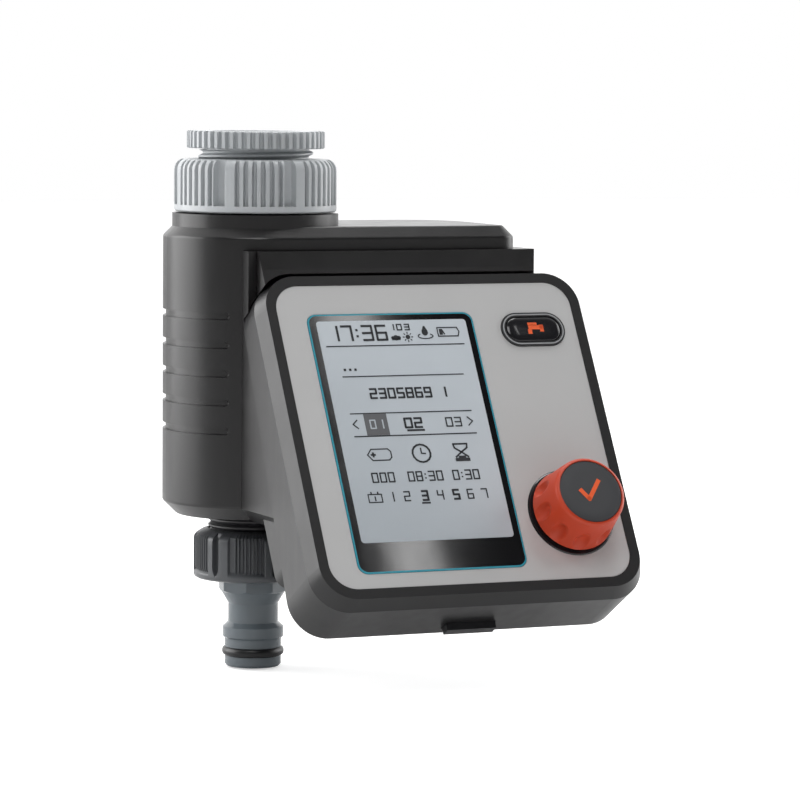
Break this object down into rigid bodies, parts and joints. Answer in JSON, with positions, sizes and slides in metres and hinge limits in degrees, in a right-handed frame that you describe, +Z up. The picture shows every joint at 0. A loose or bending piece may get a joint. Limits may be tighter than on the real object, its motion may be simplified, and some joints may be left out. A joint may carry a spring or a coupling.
{
  "type": "water timer",
  "caption": "Battery water timer for a garden tap, with a leaning removable control unit, a push-and-turn knob, threaded union fittings and a quick-coupling hose outlet.",
  "frame": {"origin": "centre of the tap thread's mouth, on the valve axis", "axes": "+Z up, out of the mouth towards the tap; the panel faces -Y and the control unit lies towards +X"},
  "size_m": [0.1144, 0.1153, 0.1554],
  "materials": {
    "housing_plastic": "satin moulded anthracite plastic with a fine spark-eroded grain",
    "frame_plastic": "satin moulded dark grey plastic",
    "light_grey_plastic": "light cool grey moulded plastic",
    "mid_grey_plastic": "mid grey moulded plastic",
    "nipple_plastic": "glossy light blue-grey plastic",
    "rubber_black": "black sealing rubber",
    "fascia_metal": "silver foil with a fine vertical sheen",
    "window": "clear window with a printed black border",
    "lcd": "reflective liquid crystal panel",
    "orange_plastic": "orange moulded plastic",
    "black_gloss": "glossy black plastic",
    "dark_grey_plastic": "dark grey plastic",
    "natural_plastic": "natural glass-filled plastic",
    "board": "green solder mask",
    "steel": "plated steel",
    "brass": "gold-plated brass",
    "winding": "enamelled copper winding under tape",
    "battery_shell": "printed steel jacket",
    "gasket": "soft grey sealing cord"
  },
  "bodies": {
    "housing": {"front_shell": "housing_plastic", "rear_shell": "housing_plastic", "hood": "housing_plastic", "shell_screws": "steel", "valve_body": "dark_grey_plastic", "valve_bonnet": "natural_plastic", "bonnet_screws": "steel", "diaphragm": "rubber_black", "solenoid_coil": "winding", "solenoid_yoke": "steel", "plunger_spring": "steel", "inlet_filter": "natural_plastic", "inlet_washer": "rubber_black", "contact_pins": "brass"},
    "plunger": {"plunger": "steel"},
    "union_nut": {"union_nut": "light_grey_plastic"},
    "adapter": {"tap_adapter": "light_grey_plastic", "adapter_washer": "rubber_black"},
    "nipple": {"hose_nipple": "nipple_plastic", "nipple_washer": "rubber_black", "nipple_o_ring": "rubber_black"},
    "outlet_nut": {"outlet_nut": "mid_grey_plastic"},
    "control_unit": {"front_frame": "frame_plastic", "fascia_plate": "fascia_metal", "display_window": "window", "lcd_panel": "lcd", "lcd_holder": "natural_plastic", "main_board": "board", "tact_switch": "black_gloss", "encoder_body": "steel", "knob_ring": "black_gloss", "button_bezel": "dark_grey_plastic", "rear_cover": "frame_plastic", "cover_screws": "steel", "unit_gasket": "gasket", "battery": "battery_shell", "battery_contacts": "brass", "contact_pads": "brass", "latch_spring": "steel"},
    "encoder_rotor": {"encoder_rotor": "natural_plastic"},
    "knob": {"encoder_shaft": "steel", "knob": "orange_plastic", "knob_disc": "dark_grey_plastic"},
    "manual_button": {"manual_button": "black_gloss"},
    "release_latch": {"release_latch": "dark_grey_plastic"}
  },
  "joints": [
    {"name": "union_nut_turn", "type": "hinge", "parent": "housing", "child": "union_nut", "pos_m": [0, 0, -0.015], "axis": [0, 0, -1], "range_deg": [0, 1080]},
    {"name": "adapter_lift", "type": "slide", "parent": "housing", "child": "adapter", "axis": [0, 0, 1], "range_m": [0, 0.0069]},
    {"name": "outlet_nut_turn", "type": "hinge", "parent": "nipple", "child": "outlet_nut", "pos_m": [0, 0, -0.122], "axis": [0, 0, -1], "range_deg": [0, 1800]},
    {"name": "nipple_drop", "type": "slide", "parent": "housing", "child": "nipple", "axis": [0, 0, -1], "range_m": [0, 0.00905]},
    {"name": "plunger_pull", "type": "slide", "parent": "housing", "child": "plunger", "axis": [1, 0, 0], "range_m": [0, 0.002], "stiffness_N_per_m": 150, "springref_m": -0.002, "deforming": ["plunger_spring"]},
    {"name": "unit_removal", "type": "slide", "parent": "housing", "child": "control_unit", "axis": [0, -0.8616, 0.5075], "range_m": [0, 0.045]},
    {"name": "latch_press", "type": "slide", "parent": "control_unit", "child": "release_latch", "axis": [0, 0.5075, 0.8616], "range_m": [0, 0.0015], "stiffness_N_per_m": 500, "springref_m": -0.001},
    {"name": "button_press", "type": "slide", "parent": "control_unit", "child": "manual_button", "axis": [0, 0.8616, -0.5075], "range_m": [0, 0.0008], "stiffness_N_per_m": 900, "springref_m": -0.0005},
    {"name": "knob_turn", "type": "hinge", "parent": "control_unit", "child": "encoder_rotor", "pos_m": [0.06755, -0.07135, -0.10556], "axis": [0, -0.8616, 0.5075], "continuous": true},
    {"name": "knob_press", "type": "slide", "parent": "encoder_rotor", "child": "knob", "axis": [0, 0.8616, -0.5075], "range_m": [0, 0.0007], "stiffness_N_per_m": 1200, "springref_m": -0.0005}
  ],
  "couplings": [
    {"joint": "union_nut_turn", "follows": "adapter_lift", "rad_per_m": 2721.2},
    {"joint": "outlet_nut_turn", "follows": "nipple_drop", "rad_per_m": 3463.7}
  ]
}
